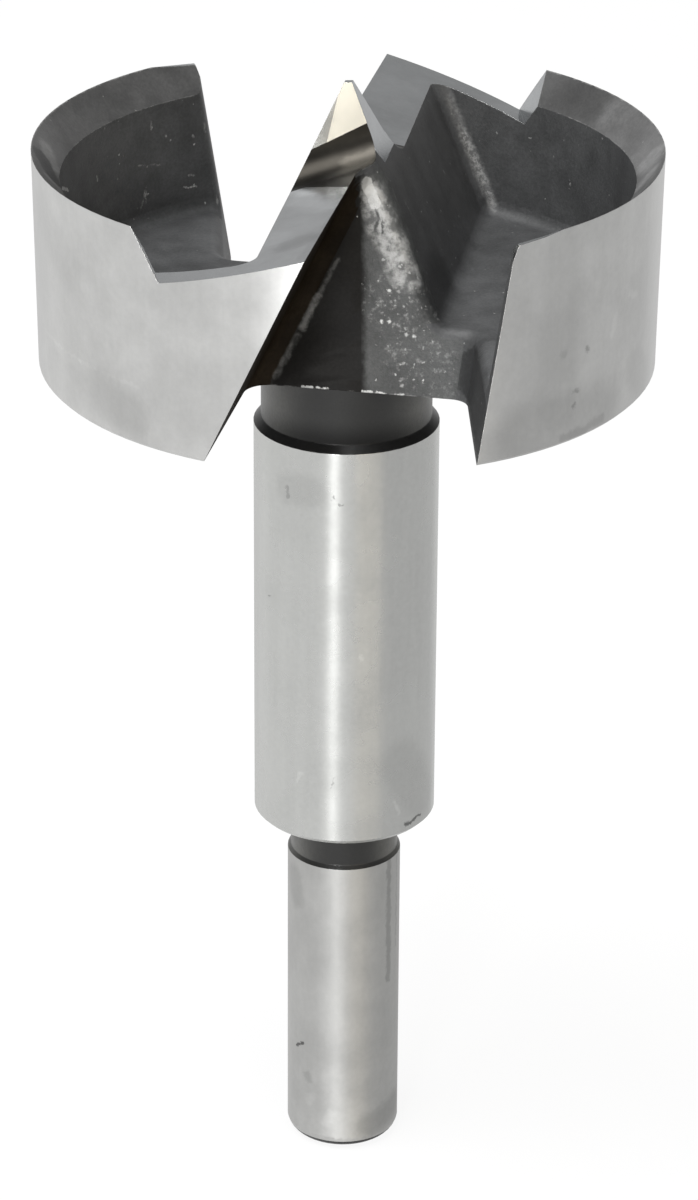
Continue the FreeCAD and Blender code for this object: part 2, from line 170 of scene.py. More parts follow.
class Nodes:
    """Builds one node tree with short calls."""

    def __init__(self, tree):
        self.tree = tree
        tree.nodes.clear()

    def add(self, kind, settings=None, **inputs):
        """A new node, with its settings made and its inputs fed."""
        node = self.tree.nodes.new(kind)
        for name, value in (settings or {}).items():
            setattr(node, name, value)
        for name, value in inputs.items():
            self.feed(node, name, value)
        return node

    def feed(self, node, name, value):
        """Links a socket to an output, or sets it to a plain value."""
        socket = node.inputs[name]
        if isinstance(value, bpy.types.NodeSocket):
            self.tree.links.new(value, socket)
        elif isinstance(value, tuple) and len(value) == 3 and socket.type == "RGBA":
            socket.default_value = (*value, 1)
        else:
            socket.default_value = value

    def math(self, operation, a, b=0.0):
        node = self.add("ShaderNodeMath", {"operation": operation})
        self.feed(node, 0, a)
        self.feed(node, 1, b)
        return node.outputs[0]

    def times(self, *values):
        """The product of all the values."""
        product = values[0]
        for value in values[1:]:
            product = self.math("MULTIPLY", product, value)
        return product

    def most(self, *values):
        """The largest of all the values."""
        top = values[0]
        for value in values[1:]:
            top = self.math("MAXIMUM", top, value)
        return top

    def vector(self, operation, a, b, output=0):
        """A vector operation. What SCALE multiplies by goes into its own socket."""
        node = self.add("ShaderNodeVectorMath", {"operation": operation})
        self.feed(node, 0, a)
        self.feed(node, 3 if operation == "SCALE" else 1, b)
        return node.outputs[output]

    def millimetres(self):
        """The place on the object, in millimetres."""
        return self.vector("SCALE", self.add("ShaderNodeTexCoord").outputs["Object"], 1000.0)

    def split(self, vector):
        """The three parts of a vector or a colour."""
        return self.add("ShaderNodeSeparateXYZ", Vector=vector).outputs

    def stretched(self, vector, scale):
        return self.vector("MULTIPLY", vector, scale)

    def noise(self, vector, scale, detail, roughness, output="Fac"):
        node = self.add("ShaderNodeTexNoise", Vector=vector, Scale=scale, Detail=detail)
        self.feed(node, "Roughness", roughness)
        return node.outputs[output]

    def ramp(self, value, low, high, out_low=0.0, out_high=1.0):
        """A smooth step from one level to another while a value goes from low to high."""
        node = self.add("ShaderNodeMapRange", {"clamp": True, "interpolation_type": "SMOOTHSTEP"})
        for index, part in enumerate((value, low, high, out_low, out_high)):
            self.feed(node, index, part)
        return node.outputs[0]

    def mix(self, factor, a, b):
        node = self.add("ShaderNodeMix", {"data_type": "RGBA"})
        self.feed(node, 0, factor)
        self.feed(node, 6, a)
        self.feed(node, 7, b)
        return node.outputs[2]

    def tint(self, value, colour):
        """A colour times a grey value."""
        node = self.add("ShaderNodeMix", {"data_type": "RGBA", "blend_type": "MULTIPLY"})
        self.feed(node, 0, 1.0)
        self.feed(node, 6, value)
        self.feed(node, 7, colour)
        return node.outputs[2]

    def streak(self, place, start, end, width, soft):
        """1 within a width of the line between two places, falling to 0 over a soft border."""
        start = Vector(start)
        run = Vector(end) - start
        offset = self.vector("SUBTRACT", place, tuple(start))
        length = max(run.length_squared, 1e-9)
        along = self.vector("DOT_PRODUCT", offset, tuple(run / length), "Value")
        along = self.math("MINIMUM", self.math("MAXIMUM", along, 0.0), 1.0)
        away = self.vector("DISTANCE", offset, self.vector("SCALE", tuple(run), along), "Value")
        return self.ramp(away, width, width + soft, 1.0, 0.0)

    def ragged(self, place, amount, scale):
        """The place, pushed about by noise, so that what is drawn there gets an uneven outline."""
        push = self.noise(place, scale, 3.0, 0.7, "Color")
        centred = self.vector("SUBTRACT", push, (0.5, 0.5, 0.5))
        return self.vector("ADD", place, self.vector("SCALE", centred, amount))

    def specks(self, place, scale, size, share):
        """Small uneven dots of uneven brightness in some of the cells of a random pattern."""
        cells = self.add("ShaderNodeTexVoronoi", Vector=self.ragged(place, 0.5, 3.0), Scale=scale)
        red, green = self.split(cells.outputs["Color"])[:2]
        chosen = self.math("GREATER_THAN", red, 1.0 - share)
        brightness = self.ramp(green, 0.0, 1.0, 0.25, 1.0)
        dots = self.ramp(cells.outputs["Distance"], size * 0.3, size, 1.0, 0.0)
        return self.times(dots, self.times(chosen, brightness))


def material(name, roughness, metallic, specular=0.5):
    """A Principled material, its node helper and its shader."""
    made = bpy.data.materials.new(name)
    made.use_nodes = True
    graph = Nodes(made.node_tree)
    shader = graph.add("ShaderNodeBsdfPrincipled")
    out = graph.add("ShaderNodeOutputMaterial")
    graph.tree.links.new(shader.outputs[0], out.inputs[0])
    shader.inputs["Metallic"].default_value = metallic
    shader.inputs["Roughness"].default_value = roughness
    shader.inputs["Specular IOR Level"].default_value = specular
    return made, graph, shader


def turned_finish(graph, shader, spread):
    """Fine grinding lines that run round the axis and draw every highlight out along it."""
    tangent = graph.add("ShaderNodeTangent", {"direction_type": "RADIAL", "axis": "Z"})
    graph.tree.links.new(tangent.outputs[0], shader.inputs["Tangent"])
    shader.inputs["Anisotropic"].default_value = spread
    shader.inputs["Anisotropic Rotation"].default_value = 0.25


def soft_edges(graph, shader, radius, height, depth):
    """Rounds the edges by a hair and adds a fine relief."""
    bevel = graph.add("ShaderNodeBevel", {"samples": 4}, Radius=radius * MM)
    bump = graph.add("ShaderNodeBump", Strength=1.0, Distance=depth * MM, Height=height)
    graph.tree.links.new(bevel.outputs[0], bump.inputs["Normal"])
    graph.tree.links.new(bump.outputs[0], shader.inputs["Normal"])


def worn_edges(graph, radius):
    """1 along the outer edges and 0 on open surfaces and in inner corners."""
    bevel = graph.add("ShaderNodeBevel", {"samples": 4}, Radius=radius * MM)
    plain = graph.add("ShaderNodeNewGeometry").outputs["Normal"]
    facing = graph.vector("DOT_PRODUCT", bevel.outputs[0], plain, "Value")
    outer = graph.add("ShaderNodeAttribute", {"attribute_name": "outer_edge"}).outputs["Fac"]
    return graph.times(graph.ramp(facing, 0.90, 0.995, 1.0, 0.0), graph.ramp(outer, 0.2, 0.6))


def scratched(graph, place, scratches):
    """Bare metal along some lines, some of them scratches and some painted highlights and glints,
    broken up by noise, which is coarser on those of middle softness.
    """
    ragged = graph.ragged(place, 0.5, 1.5)
    fine = graph.ramp(graph.noise(place, 2.6, 4.0, 0.8), 0.42, 0.62, 0.15, 1.0)
    coarse = graph.ramp(graph.noise(place, 0.8, 4.0, 0.6), 0.36, 0.60, 0.25, 1.0)
    bare = []
    for start, end, width, soft, amount in scratches:
        broken = coarse if 0.25 <= soft < 0.5 else fine
        bare.append(graph.times(graph.streak(ragged, start, end, width, soft), broken, amount))
    return graph.most(*bare)


def marked(graph, place, level, marks):
    """A grey level with marks and painted light and shade on it, each a streak with the factor that it
    darkens or lightens by.
    """
    if marks:
        place = graph.ragged(place, 0.9, 1.4)
    for start, end, width, soft, factor in marks:
        spot = graph.streak(place, start, end, width, soft)
        level = graph.times(level, graph.ramp(spot, 0.0, 1.0, 1.0, factor))
    return level


def steel(name, colour, roughness, cloud, grinding=ROUND_LINES, spread=0.0, marks=()):
    """Ground steel with faint clouds, grinding lines and a few marks, some of which paint light and
    shade.
    """
    made, graph, shader = material(name, roughness, 1.0)
    place = graph.millimetres()
    clouds = graph.noise(place, 0.14, 4.0, 0.6)
    streaks = graph.noise(graph.stretched(place, (1.0, 1.0, 0.05)), 0.9, 3.0, 0.6)
    lines = graph.noise(graph.stretched(place, grinding), 1.0, 2.0, 0.6)
    grain = graph.noise(place, 2.2, 3.0, 0.7)
    level = graph.times(
        graph.ramp(clouds, 0.32, 0.68, 1.0 - cloud, 1.0 + cloud),
        graph.ramp(streaks, 0.3, 0.7, 0.983, 1.017),
        graph.ramp(grain, 0.25, 0.75, 0.975, 1.025),
    )
    level = marked(graph, place, level, marks)
    graph.feed(shader, "Base Color", graph.tint(level, colour))
    uneven = graph.ramp(clouds, 0.25, 0.75, roughness * 0.88, roughness * 1.12)
    graph.feed(shader, "Roughness", uneven)
    if spread:
        turned_finish(graph, shader, spread)
    soft_edges(graph, shader, STEEL_EDGE, lines, LINE_DEPTH)
    return made


def both_sides(graph, place):
    """The place, turned half a turn where that brings it to the first cutter's side."""
    x, y, z = graph.split(place)[:3]
    side = graph.math("SIGN", graph.math("MULTIPLY", y, -1.0))
    joined = graph.add("ShaderNodeCombineXYZ", X=graph.times(x, side), Y=graph.times(y, side), Z=z)
    return joined.outputs[0]


# The lines on the ridge along which it is worn bare and dusted with bright specks, which also paint its
# highlight and glints, and bright at its head as a painted highlight.
RIDGE_BAND = ((2.4, -3.8, 86.9), (5.7, -5.1, 80.8), 0.7, 0.9)
RIDGE_TAIL = ((4.9, -5.9, 79.0), (7.4, -6.8, 74.2), 1.3, 2.4)
RIDGE_HEAD = ((2.15, -3.6, 87.9), (2.95, -3.95, 86.3), 0.42, 0.2)
# Thin dark lines left in the bare band.
RIDGE_CRACKS = (
    ((3.0, -4.2, 85.8), (3.3, -4.3, 85.0), 0.05, 0.16),
    ((3.3, -4.3, 85.0), (3.0, -4.45, 84.2), 0.05, 0.16),
    ((3.5, -4.3, 85.2), (3.7, -4.5, 84.1), 0.03, 0.14),
)


def hill_wear_and_highlight(graph, place):
    """Bare and sparkling spots on the hub's forged ridge, partly wear and partly a painted highlight
    where it catches the light.
    """
    turned = both_sides(graph, place)
    ragged = graph.ragged(turned, 1.4, 0.9)
    band = graph.streak(ragged, *RIDGE_BAND)
    tail = graph.streak(ragged, *RIDGE_TAIL)
    head = graph.streak(graph.ragged(turned, 0.6, 1.5), *RIDGE_HEAD)
    rough = graph.noise(place, 0.95, 5.0, 0.62)
    sparkle_noise = graph.noise(place, 1.6, 5.0, 0.75)
    patch = graph.times(band, graph.ramp(rough, 0.38, 0.62, 0.08, 0.58))
    tail_sparkle = graph.times(tail, graph.ramp(sparkle_noise, 0.52, 0.70, 0.0, 0.30))
    worn = graph.most(band, tail)
    glints = graph.times(worn, graph.specks(place, 1.5, 0.34, 0.30))
    fine_glints = graph.times(worn, graph.specks(place, 2.8, 0.34, 0.32), 0.7)
    bent = graph.ragged(turned, 0.6, 1.6)
    cracks = graph.most(*[graph.streak(bent, *crack) for crack in RIDGE_CRACKS])
    bright = graph.most(patch, tail_sparkle, glints, fine_glints, graph.times(head, 0.76))
    return graph.times(bright, graph.math("SUBTRACT", 1.0, cracks))


def past_milled(graph, place):
    """How far a place lies beyond the ragged border of the hub's milled front, in millimetres."""
    turned = both_sides(graph, graph.ragged(place, 0.8, 0.7))
    x, _, z = graph.split(turned)[:3]
    lean = graph.times(graph.math("SUBTRACT", MILLED_LEVEL, z), MILLED_LEAN)
    return graph.math("SUBTRACT", graph.math("SUBTRACT", x, lean), MILLED_END)


def neck_shade(graph, place, foot):
    """Painted shade: dark just above a height, and bright from a little higher on and well below it."""
    height = graph.split(place)[2]
    above_foot = graph.ramp(height, foot, foot + 2.2, 0.45, 1.0)
    far_below = graph.ramp(height, 40.0, 42.0, 1.0, 0.0)
    return graph.most(above_foot, far_below)


def oxide(name, colour, roughness, specular, mottle, depth, specks, worn=0.0, hill=False,
          marks=(), scratches=(), sheen=1.0, foot=None):
    """Black oxide: matt, a little uneven, with pale specks and edges worn to bare steel, and where
    asked with painted highlights on the forged hill, painted shade on the neck and a painted sheen.
    """
    made, graph, shader = material(name, roughness, 0.0, specular)
    place = graph.millimetres()
    clouds = graph.noise(place, 0.35, 5.0, 0.6)
    grain = graph.noise(place, 4.0, 4.0, 0.65)
    level = graph.times(
        graph.ramp(clouds, 0.3, 0.7, 1.0 - mottle, 1.0 + mottle),
        graph.ramp(grain, 0.3, 0.7, 0.85, 1.15),
    )
    level = marked(graph, place, level, marks)
    bare = graph.specks(place, 1.3, 0.14, specks)
    if scratches:
        bare = graph.most(bare, scratched(graph, place, scratches))
    if worn:
        broken = graph.ramp(graph.noise(place, 1.3, 4.0, 0.7), 0.42, 0.62)
        bare = graph.most(bare, graph.times(worn_edges(graph, WORN_EDGE), broken, worn))
    dark = graph.tint(level, colour)
    if hill:
        past = past_milled(graph, place)
        forged = graph.ramp(past, -0.15, 0.75)
        # The forged ridge's bare spots, which also paint its highlight and glints.
        bare = graph.most(bare, graph.times(hill_wear_and_highlight(graph, place), graph.ramp(past, 0.0, 0.3)))
        dark = graph.mix(forged, MILLED_BLACK, dark)
        graph.feed(shader, "Specular IOR Level", graph.ramp(forged, 0.0, 1.0, 0.10, specular))
    # Painted shade on the neck, which dims its specular level too.
    if foot:
        shade = neck_shade(graph, place, foot)
        level = graph.times(level, shade)
        graph.feed(shader, "Specular IOR Level", graph.times(shade, specular))
    # A painted sheen: the base colour brightens toward grazing views.
    if sheen > 1.0:
        facing = graph.add("ShaderNodeLayerWeight", Blend=0.5).outputs["Facing"]
        dark = graph.tint(graph.times(level, graph.ramp(facing, 0.12, 0.62, 1.0, sheen)), colour)
    graph.feed(shader, "Base Color", graph.mix(bare, dark, BARE))
    graph.feed(shader, "Metallic", graph.times(bare, 0.9))
    relief = graph.math("ADD", grain, graph.times(clouds, 1.5))
    soft_edges(graph, shader, OXIDE_EDGE, relief, depth)
    return made


def on(radius, angle, height):
    """A place on a turned surface, from its angle in degrees."""
    return (radius * math.cos(math.radians(angle)), radius * math.sin(math.radians(angle)), height)


# Every mark and scratch below is a line with its start, its end, its half width and its soft border in
# millimetres. Last comes the factor that a mark changes the grey level by, or how bare a scratch is.
# Some of them are painted light and shade, as said at each list.
RIM_MARKS = [
    (on(24.9, -31.3, 79.2), on(24.9, -31.0, 78.9), 0.02, 0.40, 0.66),
    (on(24.9, -37.0, 79.3), on(24.9, -37.5, 79.3), 0.02, 0.50, 0.86),
    (on(24.9, -34.5, 75.9), on(24.9, -33.5, 75.8), 0.02, 0.38, 0.70),
    (on(24.9, -34.0, 74.8), on(24.9, -34.3, 74.7), 0.04, 0.38, 0.70),
    (on(24.8, -37.0, 72.3), on(24.8, -31.0, 72.3), 0.05, 0.60, 0.84),
    (on(24.8, -29.5, 72.5), on(24.8, -26.0, 72.6), 0.05, 0.60, 0.84),
    (on(24.4, -46.0, 73.6), on(24.4, -27.0, 73.4), 1.0, 3.2, 0.86),
    (on(24.9, -23.5, 79.2), on(24.9, -22.6, 80.6), 0.05, 0.60, 1.07),
    (on(24.9, -17.5, 81.7), on(24.9, -14.5, 81.2), 0.05, 0.50, 1.07),
    (on(24.9, -38.5, 75.0), on(24.9, -38.5, 88.0), 0.8, 2.2, 0.92),
    (on(24.9, -14.0, 75.0), on(24.9, -9.0, 73.5), 0.6, 2.2, 0.90),
    (on(24.9, -128.0, 75.0), on(24.9, -121.0, 73.5), 0.6, 2.5, 0.90),
    (on(24.9, -150.0, 86.5), on(24.9, -138.0, 84.0), 0.5, 3.0, 0.93),
    (on(24.8, -150.0, 76.6), on(24.8, -135.0, 76.6), 0.04, 0.30, 1.06),
    (on(24.8, -135.0, 76.6), on(24.8, -119.0, 76.6), 0.04, 0.30, 1.06),
    (on(24.8, -147.0, 74.2), on(24.8, -120.0, 74.2), 1.0, 1.4, 0.95),
]

BOSS_MARKS = [
    (on(BOSS_R, -116, 62.6), on(BOSS_R, -100, 62.8), 0.4, 1.8, 0.90),
    (on(BOSS_R, -117, 61.8), on(BOSS_R, -118, 62.6), 0.03, 0.25, 0.75),
    (on(BOSS_R, -135, 52.2), on(BOSS_R, -132, 52.4), 0.02, 0.12, 0.60),
    (on(BOSS_R, -36, 32.1), on(BOSS_R, -22, 32.3), 0.06, 0.22, 0.35),
    (on(BOSS_R, -110, 36.6), on(BOSS_R, -107, 37.4), 0.02, 0.30, 1.10),
    (on(BOSS_R, -69, 48.2), on(BOSS_R, -69, 48.5), 0.03, 0.25, 1.15),
    (on(BOSS_R, -45, 34.5), on(BOSS_R, -42, 33.4), 0.03, 0.30, 1.12),
    (on(BOSS_R, -88, 62.3), on(BOSS_R, -87, 62.4), 0.03, 0.14, 0.60),
    (on(BOSS_R, -83, 61.9), on(BOSS_R, -82, 61.9), 0.03, 0.14, 0.65),
    (on(BOSS_R, -88, 36.4), on(BOSS_R, -85, 37.4), 0.01, 0.10, 0.70),
    (on(BOSS_R, -40, 38.0), on(BOSS_R, -20, 34.0), 0.8, 2.5, 0.90),
]

SHANK_MARKS = [
    (on(SHANK_R, -25, 15.8), on(SHANK_R, -26, 27.3), 0.10, 0.40, 0.76),
    (on(SHANK_R, -10, 18.5), on(SHANK_R, -9, 27.3), 0.03, 0.20, 0.85),
    (on(SHANK_R, -136, 9.2), on(SHANK_R, -124, 9.8), 0.06, 0.10, 0.30),
    (on(SHANK_R, -119, 6.8), on(SHANK_R, -117, 6.4), 0.10, 0.60, 0.84),
    (on(SHANK_R, -116, 4.4), on(SHANK_R, -112, 4.8), 0.10, 0.70, 1.10),
    (on(SHANK_R, -96, 2.6), on(SHANK_R, -90, 3.6), 0.10, 0.60, 1.10),
    (on(SHANK_R, -50, 2.2), on(SHANK_R, -12, 3.0), 0.3, 1.8, 0.80),
    (on(SHANK_R, -140, 25.5), on(SHANK_R, -135, 23.5), 0.3, 1.4, 0.87),
]

BEVEL_MARKS = [
    (on(24.2, -167.0, 88.7), on(23.3, -161.0, 87.7), 0.8, 0.5, 0.12),
    (on(24.0, -173.0, 88.5), on(23.3, -168.5, 87.7), 0.3, 1.2, 2.2),
    (on(23.9, -157.5, 88.4), on(23.3, -156.5, 87.7), 0.1, 0.8, 1.7),
    (on(24.0, 4.0, 88.5), on(23.2, 2.0, 87.6), 0.2, 1.2, 1.5),
    (on(24.0, 11.0, 88.4), on(23.4, -9.0, 87.8), 0.7, 1.6, 2.00),
    (on(24.0, 36.0, 88.5), on(24.0, 13.0, 88.5), 0.8, 2.8, 1.75),
    (on(24.0, -13.0, 88.5), on(23.2, -12.0, 87.6), 0.1, 0.8, 1.9),
    (on(24.0, 60.0, 88.5), on(24.0, 44.0, 88.5), 0.6, 2.0, 0.80),
]

# Painted shade in the valley behind the first hub, on the forged ridge and on the oxide beside it.
VALLEY_SHADE = [
    ((8.1, -4.0, 78.0), (7.6, 1.0, 79.0), 0.8, 3.0, 0.62),
    ((6.3, -2.2, 81.6), (7.6, 1.0, 79.0), 0.4, 2.2, 0.86),
]

# The valley's painted shade, then patches that lighten or darken the oxide.
OXIDE_MARKS_AND_SHADE = VALLEY_SHADE + [
    ((4.73, -0.23, 84.97), (5.12, -0.55, 84.1), 0.04, 0.20, 0.55),
    ((-20.0, 6.0, 76.9), (-13.5, 10.5, 76.9), 3.0, 3.0, 1.30),
    ((10.3, 4.0, 76.9), (10.4, -3.0, 76.9), 1.0, 3.0, 1.22),
    ((-24.0, 0.0, 82.0), (-21.0, 12.0, 82.0), 2.0, 5.0, 1.20),
    # Painted shade in the first gullet's corner.
    ((11.6, -8.0, 74.2), (14.9, -21.5, 74.2), 1.9, 0.45, 0.45),
    ((13.1, -8.5, 77.1), (15.3, -16.5, 77.1), 0.4, 1.0, 1.45),
]

# The scratches that cross from the forged ridge to the oxide beside it.
RIDGE_SCRATCHES = [
    ((3.9, -2.0, 86.8), (4.2, -2.3, 86.1), 0.02, 0.20, 0.35),
    ((4.6, -4.6, 85.3), (5.2, -5.1, 84.0), 0.04, 0.20, 0.45),
]

# The ridge's scratches, and bare lines and dots on the oxide, some of them painted highlights as noted.
OXIDE_SCRATCHES_AND_HIGHLIGHTS = RIDGE_SCRATCHES + [
    # A painted highlight down the far pocket's corner to its floor, speckled like bare steel, in three
    # pieces.
    ((4.3, 22.2, 86.5), (5.6, 21.9, 83.4), 0.10, 0.55, 0.14),
    ((5.6, 21.9, 83.4), (8.6, 21.1, 76.8), 0.10, 0.60, 0.34),
    ((8.8, 20.8, 76.9), (11.4, 19.6, 76.4), 0.05, 0.50, 0.25),
    ((4.6, -0.2, 85.4), (5.2, 0.1, 84.0), 0.01, 0.10, 0.35),
    ((5.2, 14.2, 82.8), (5.3, 14.3, 82.7), 0.04, 0.12, 1.00),
    ((-16.9, 15.3, 79.4), (-16.1, 16.2, 79.2), 0.04, 0.10, 1.00),
    ((-19.4, 12.0, 80.1), (-19.4, 12.0, 79.0), 0.02, 0.12, 0.80),
    ((-19.0, 12.6, 85.9), (-19.0, 12.6, 85.3), 0.04, 0.15, 0.80),
    ((-19.4, 12.0, 80.3), (-19.5, 11.8, 79.5), 0.02, 0.12, 0.60),
    ((-19.5, 11.8, 79.5), (-19.7, 11.5, 78.7), 0.02, 0.12, 0.40),
    ((-16.6, 15.6, 80.3), (-16.2, 16.0, 80.3), 0.02, 0.12, 0.50),
    ((-19.8, 11.2, 82.5), (-18.5, 13.3, 81.9), 0.02, 0.10, 0.35),
    ((-22.0, 6.0, 83.2), (-22.0, 6.1, 82.9), 0.05, 0.12, 0.60),
    ((-18.1, 13.9, 84.3), (-18.0, 13.9, 84.2), 0.05, 0.10, 0.80),
    ((-16.3, 16.0, 83.7), (-16.2, 16.0, 83.6), 0.05, 0.10, 0.70),
    ((-15.4, 16.9, 84.5), (-15.3, 16.9, 83.9), 0.05, 0.20, 0.60),
    ((-14.5, 17.6, 78.3), (-14.6, 17.5, 77.4), 0.05, 0.18, 0.50),
    # A painted glint on the left rim's lip, drawn as bare steel.
    ((-22.62, -2.7, 85.25), (-22.78, -0.3, 84.15), 0.10, 0.08, 3.00),
]

GROOVE_HIGHLIGHT_AND_WORN_GLINTS = [
    # A painted highlight along the groove at the root of the rake, drawn as bare steel.
    ((0.22, -5.04, 81.75), (-1.2, -5.7, 78.9), 0.02, 0.28, 0.14),
    ((-1.2, -5.7, 78.9), (-2.4, -6.3, 76.3), 0.06, 0.38, 0.34),
    ((-2.7, -6.5, 75.7), (-4.3, -7.25, 72.4), 0.05, 0.34, 0.18),
    # Worn, bare spots on the web's lower edge that also paint its glints.
    ((-2.08, -7.44, 71.74), (-1.43, -7.44, 71.74), 0.09, 0.10, 2.40),
    ((-0.95, -7.44, 71.74), (-0.1, -7.44, 71.74), 0.06, 0.10, 1.80),
]

HILL_SCRATCHES_AND_WORN_GLINTS = RIDGE_SCRATCHES + [
    # Worn, bare spots on the web's lower edge that also paint its glints.
    ((2.6, -7.44, 71.74), (3.48, -7.44, 71.74), 0.07, 0.10, 2.20),
    ((3.9, -7.44, 71.74), (4.61, -7.44, 71.74), 0.06, 0.10, 1.60),
    ((5.33, -7.44, 71.74), (6.05, -7.44, 71.74), 0.04, 0.10, 1.20),
]

# Painted highlights along the rounding, the second brightest at its right end, then a darker band along
# the flank's foot.
FILLET_HIGHLIGHTS_AND_DARK_BAND = [
    ((-2.56, -3.70, 87.8), (2.59, -1.87, 89.2), 0.05, 0.55, 1.7),
    ((0.60, -2.90, 88.8), (2.70, -2.10, 89.6), 0.25, 0.80, 2.0),
    ((-2.4, -2.9, 89.7), (1.5, -1.2, 91.5), 0.10, 0.70, 0.8),
]

# Streaks that darken or lighten the first land.
LAND_MARKS_AND_PAINTED_LIGHT = [
    ((0.4, -19.3, 88.6), (-0.6, -20.0, 88.3), 0.1, 2.2, 0.72),
    # These two paint light on the land's inner end.
    ((-2.6, -6.0, 87.8), (1.2, -8.4, 88.9), 0.4, 1.8, 1.40),
    ((-0.6, -8.4, 88.3), (1.2, -10.4, 88.8), 0.9, 3.2, 1.40),
    ((1.9, -15.0, 89.0), (1.2, -24.0, 88.9), 0.1, 0.6, 0.88),
    ((-2.0, -17.0, 88.0), (-2.6, -22.0, 87.8), 0.2, 1.6, 1.10),
]


def finishes():
    """Every finish of the bit, by the name of its zone."""
    made = (
        steel("Rim", (0.61, 0.61, 0.60), 0.32, cloud=0.08, spread=0.80, marks=RIM_MARKS),
        steel("Boss", (0.58, 0.585, 0.57), 0.27, cloud=0.04, spread=0.88, marks=BOSS_MARKS),
        steel("Shank", (0.50, 0.50, 0.49), 0.48, cloud=0.08, spread=0.60, marks=SHANK_MARKS),
        steel("Land", (0.395, 0.407, 0.415), 0.20, cloud=0.10, grinding=LAND_LINES, marks=LAND_MARKS_AND_PAINTED_LIGHT),
        steel("Facet", (0.33, 0.33, 0.315), 0.26, cloud=0.12, grinding=FLANK_LINES),
        # The flank's pale, warm colour is partly a painted reflection of the warm panel.
        steel("Flank", (0.92, 0.90, 0.82), 0.20, cloud=0.05, grinding=FLANK_LINES),
        steel("Fillet", (0.024, 0.0222, 0.0192), 0.38, cloud=0.20, grinding=LAND_LINES,
              marks=FILLET_HIGHLIGHTS_AND_DARK_BAND),
        oxide("Rake", (0.011, 0.008, 0.005), 0.60, 0.04, mottle=0.25, depth=0.01, specks=0.0,
              worn=0.3, scratches=GROOVE_HIGHLIGHT_AND_WORN_GLINTS),
        oxide("Bevel", (0.044, 0.044, 0.044), 0.33, 0.75, mottle=0.25, depth=0.012, specks=0.1,
              worn=0.6, marks=BEVEL_MARKS),
        oxide("Oxide", (0.050, 0.051, 0.052), 0.50, 0.35, mottle=0.18, depth=0.03, specks=0.18,
              worn=0.5, marks=OXIDE_MARKS_AND_SHADE, scratches=OXIDE_SCRATCHES_AND_HIGHLIGHTS),
        oxide("Forged", (0.048, 0.0495, 0.049), 0.48, 0.40, mottle=0.25, depth=0.06, specks=0.25,
              worn=0.5, hill=True, marks=VALLEY_SHADE, scratches=HILL_SCRATCHES_AND_WORN_GLINTS),
        oxide("Milled", MILLED_BLACK, 0.50, 0.10, mottle=0.15, depth=0.01, specks=0.05,
              worn=0.3, scratches=GROOVE_HIGHLIGHT_AND_WORN_GLINTS),
        oxide("Neck", (0.006, 0.006, 0.0055), 0.33, 0.60, mottle=0.15, depth=0.012, specks=0.08,
              sheen=10.0, foot=RING_TOP),
        oxide("Ring", (0.008, 0.008, 0.008), 0.30, 0.30, mottle=0.15, depth=0.01, specks=0.0,
              worn=0.3),
    )
    return {finish.name: finish for finish in made}


def border(line, normal):
    """The plane through a line on a face and square to the face, facing the point of the bit."""
    start, end = Vector(line[0]), Vector(line[1])
    across = (end - start).cross(normal).normalized()
    return start, (across if across.y > 0 else -across)


def above(place, line, normal):
    """Whether a place lies on the side of a line that the point of the bit is on."""
    start, across = border(line, normal)
    return (place - start).dot(across) > 0


def hub_depth(place):
    """How far a place on the first cutter's side lies in front of the hub's front."""
    return (-place.y - HUB_HALF - HUB_SLOPE * (EDGE - place.z)) / math.hypot(1, HUB_SLOPE)


# The finishes below the head, each with the height that it ends at.
STEM = (
    (SHANK_TOP, "Shank"),
    (BOSS_BOTTOM - 0.01, "Neck"),
    (BOSS_TOP + 0.01, "Boss"),
    (RING_TOP + 0.01, "Ring"),
    (UNDERSIDE - 0.02, "Neck"),
)


def zone(centre, normal):
    """The finish of a face, from its centre in millimetres and its normal."""
    for top, finish in STEM:
        if centre.z < top:
            return "Ring" if finish == "Shank" and normal.z < -0.4 else finish
    side = 1 if centre.y < 0 else -1
    place = turned_to(centre, side)
    turned = turned_to(normal, side)
    return rim_zone(place, turned) or cutter_zone(place, turned, side) or hub_zone(place, turned)


def rim_zone(place, normal):
    """The finish of a face of a rim, or none elsewhere."""
    radius = math.hypot(place.x, place.y)
    outward = (place.x * normal.x + place.y * normal.y) / max(radius, 1e-6)
    lower_edge = place.z < UNDERSIDE + 0.4 and outward > 0.1
    if radius > 24.3 and (outward > 0.9 or lower_edge):
        return "Rim"
    if place.z > BEVEL_FOOT and radius > INNER_R - 0.1 and outward < -0.4 and 0.5 < normal.z < 0.9:
        return "Bevel"
    return None


